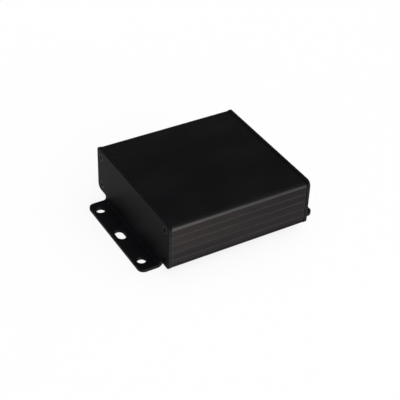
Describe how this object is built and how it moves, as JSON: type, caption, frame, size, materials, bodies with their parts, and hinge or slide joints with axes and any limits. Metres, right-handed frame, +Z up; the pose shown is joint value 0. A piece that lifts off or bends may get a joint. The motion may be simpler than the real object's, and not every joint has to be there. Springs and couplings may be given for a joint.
{
  "type": "extruded aluminium enclosure",
  "caption": "Low square case of two L-shaped extrusions, closed at both ends by bent plates with a slotted mounting flange and countersunk screws.",
  "frame": {"origin": "middle of the box in plan, on the surface that the two flanges stand on", "axes": "+X along the extrusion from the left end plate to the right one, +Y from the front wall to the back wall, +Z up"},
  "size_m": [0.1114, 0.0846, 0.0331],
  "materials": {
    "anodised_extrusion": "black anodised, satin",
    "anodised_plate": "black anodised, satin",
    "black_screw": "black oxide"
  },
  "bodies": {
    "root": {"upper_shell": "anodised_extrusion", "lower_shell": "anodised_extrusion", "left_end_plate": "anodised_plate", "right_end_plate": "anodised_plate", "left_top_front_screw": "black_screw", "left_top_back_screw": "black_screw", "left_bottom_front_screw": "black_screw", "left_bottom_back_screw": "black_screw", "right_top_front_screw": "black_screw", "right_top_back_screw": "black_screw", "right_bottom_front_screw": "black_screw", "right_bottom_back_screw": "black_screw"}
  },
  "joints": []
}
